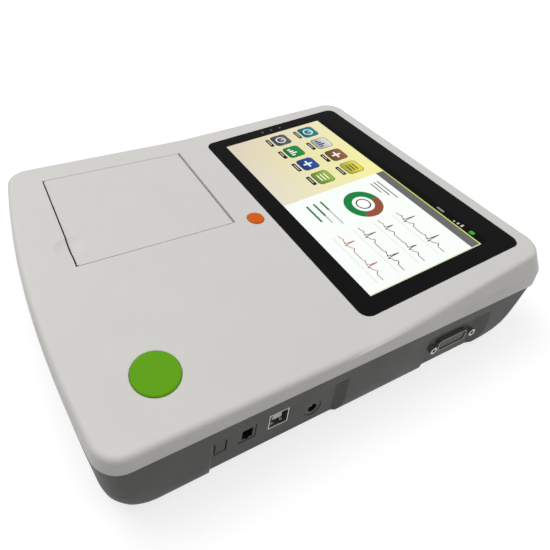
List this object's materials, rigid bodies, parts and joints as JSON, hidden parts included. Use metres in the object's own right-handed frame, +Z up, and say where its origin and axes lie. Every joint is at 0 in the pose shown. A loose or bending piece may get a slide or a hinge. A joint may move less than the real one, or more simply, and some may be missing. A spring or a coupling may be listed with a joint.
{
  "type": "ecg machine",
  "caption": "Portable electrocardiograph with a raised sloping touch screen, a hinged lid over a thermal strip printer, a round start button and side sockets for the patient lead.",
  "frame": {"origin": "on the table plane under the middle of the machine's plan outline", "axes": "+X to the user's right, towards the sockets; +Y away from the user, towards the back; +Z up"},
  "size_m": [0.232, 0.306, 0.0604],
  "materials": {
    "case_grey": "fine moulded texture",
    "case_white": "fine moulded texture",
    "black_glass": "polished, printed black behind",
    "display": "smooth polariser",
    "steel": "zinc plated sheet and rod",
    "light_pipe": "clear moulded",
    "roller_rubber": "ground",
    "foot_rubber": "matte",
    "gear_plastic": "moulded",
    "brass": "turned",
    "black_plastic": "moulded",
    "ceramic_head": "glazed strip",
    "aluminium": "extruded",
    "green_cap": "satin moulded",
    "orange_cap": "satin moulded",
    "board": "solder mask",
    "battery_wrap": "shrink sleeve",
    "tin_plate": "tin plated"
  },
  "bodies": {
    "case": {"bottom_shell": "case_grey", "battery_cover": "case_grey", "top_shell": "case_white", "blank_plug": "case_white", "screen_glass": "black_glass", "lcd_panel": "display", "lcd_bracket": "steel", "printer_frame": "steel", "lid_hinge_pins": "steel", "idler_axle": "steel", "stepper_motor": "steel", "head_spring": "steel", "case_screws": "steel", "cover_screws": "steel", "ecg_shield": "steel", "indicator_pipes": "light_pipe", "rubber_feet": "foot_rubber", "dc_jack_pin": "brass", "paper_guide": "black_plastic", "paper_tray": "black_plastic", "link_socket": "black_plastic", "dc_jack": "black_plastic", "lead_insert": "black_plastic", "start_switch": "black_plastic", "power_switch": "black_plastic", "usb_tongue": "black_plastic", "speaker": "black_plastic", "print_head": "ceramic_head", "head_heatsink": "aluminium", "main_board": "board", "io_board": "board", "ecg_board": "board", "start_key_board": "board", "power_key_board": "board", "battery_pack": "battery_wrap", "usb_shell": "tin_plate", "lead_shell": "tin_plate", "jackscrews": "tin_plate"},
    "lid": {"paper_lid": "case_white", "platen_bushes": "gear_plastic"},
    "platen": {"platen_roller": "roller_rubber", "platen_shaft": "steel", "platen_gear": "gear_plastic"},
    "idler": {"idler_gear": "gear_plastic"},
    "pinion": {"motor_pinion": "brass", "motor_shaft": "steel"},
    "start_key": {"start_button": "green_cap", "start_plunger": "black_plastic"},
    "power_key": {"power_button": "orange_cap", "power_plunger": "black_plastic"}
  },
  "joints": [
    {"name": "lid_hinge", "type": "hinge", "parent": "case", "child": "lid", "pos_m": [-0.0489, -0.0171, 0.0455], "axis": [-1, 0, 0], "range_deg": [0, 95]},
    {"name": "platen_spin", "type": "hinge", "parent": "lid", "child": "platen", "pos_m": [-0.0489, -0.1131, 0.0387], "axis": [1, 0, 0], "continuous": true},
    {"name": "idler_spin", "type": "hinge", "parent": "case", "child": "idler", "pos_m": [-0.0489, -0.1131, 0.02485], "axis": [1, 0, 0], "continuous": true},
    {"name": "pinion_spin", "type": "hinge", "parent": "case", "child": "pinion", "pos_m": [-0.0489, -0.10318, 0.01912], "axis": [1, 0, 0], "continuous": true},
    {"name": "start_press", "type": "slide", "parent": "case", "child": "start_key", "axis": [0, 0, -1], "range_m": [0, 0.001], "stiffness_N_per_m": 600, "springref_m": -0.001},
    {"name": "power_press", "type": "slide", "parent": "case", "child": "power_key", "axis": [0, 0, -1], "range_m": [0, 0.001], "stiffness_N_per_m": 600, "springref_m": -0.001}
  ],
  "couplings": [
    {"joint": "idler_spin", "follows": "platen_spin", "ratio": -0.76923},
    {"joint": "pinion_spin", "follows": "platen_spin", "ratio": 1.6667}
  ]
}
